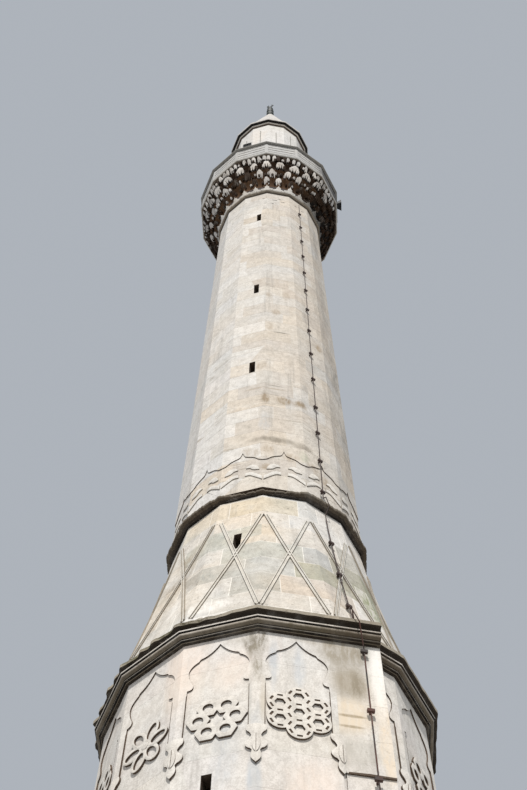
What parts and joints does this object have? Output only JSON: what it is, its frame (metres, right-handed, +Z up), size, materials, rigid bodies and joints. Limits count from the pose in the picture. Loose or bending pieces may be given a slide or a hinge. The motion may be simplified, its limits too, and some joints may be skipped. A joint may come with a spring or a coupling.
{
  "type": "minaret",
  "caption": "Slender ashlar minaret with a polygonal pedestal and shaft, carved panels, a corbelled stone balcony, an upper drum and a pointed stone spire.",
  "frame": {"origin": "on the tower's axis at ground level, on the underside of the plinth slab", "axes": "+Z up; the wall with the slit windows looks along -Y and the doorways look along +Y"},
  "size_m": [3.7, 3.6072, 38.45],
  "materials": {
    "limestone": "matt ashlar with dark joints, brown soot streaks and pale washed stripes",
    "sooty_limestone": "rough, black with soot under the edges, with dry moss and orange lichen on the ledges",
    "carved_limestone": "matt carved stone, darker in the hollows",
    "spire_stone": "pale matt ashlar, lightly streaked",
    "finial_copper": "dull and patinated",
    "rusty_iron": "matt, brown with rust",
    "dark_paint": "matt, weathered"
  },
  "bodies": {
    "root": {"plinth_slab": "limestone", "base_moulding": "limestone", "pedestal_lower": "limestone", "pedestal_middle": "limestone", "pedestal_upper": "limestone", "panel_course": "limestone", "tie_wall": "limestone", "tie_wall_facing": "limestone", "spreading_storey": "limestone", "shaft_lower": "limestone", "shaft_middle": "limestone", "shaft_upper": "limestone", "balcony_floor": "limestone", "drum_lower": "limestone", "drum_upper": "limestone", "parapet_slab_01": "limestone", "parapet_slab_02": "limestone", "parapet_slab_03": "limestone", "parapet_slab_04": "limestone", "parapet_slab_05": "limestone", "parapet_slab_06": "limestone", "parapet_slab_07": "limestone", "parapet_slab_08": "limestone", "parapet_slab_09": "limestone", "parapet_slab_10": "limestone", "parapet_slab_11": "limestone", "parapet_slab_12": "limestone", "parapet_slab_13": "limestone", "parapet_slab_14": "limestone", "lower_cornice": "sooty_limestone", "tie_cornice": "sooty_limestone", "middle_ring": "sooty_limestone", "shaft_collar": "sooty_limestone", "parapet_coping": "sooty_limestone", "eaves_band": "sooty_limestone", "corbel_leaves": "carved_limestone", "corbel_tier_1": "carved_limestone", "corbel_tier_2": "carved_limestone", "corbel_tier_3": "carved_limestone", "corbel_tier_4": "carved_limestone", "spire": "spire_stone", "finial_base": "finial_copper", "finial_lower_knob": "finial_copper", "finial_upper_knob": "finial_copper", "finial_crescent": "finial_copper", "conductor_on_shaft": "rusty_iron", "conductor_on_storey": "rusty_iron", "conductor_on_pedestal": "rusty_iron", "loudspeaker_front": "dark_paint", "loudspeaker_right": "dark_paint", "loudspeaker_rear": "dark_paint", "loudspeaker_left": "dark_paint"}
  },
  "joints": []
}
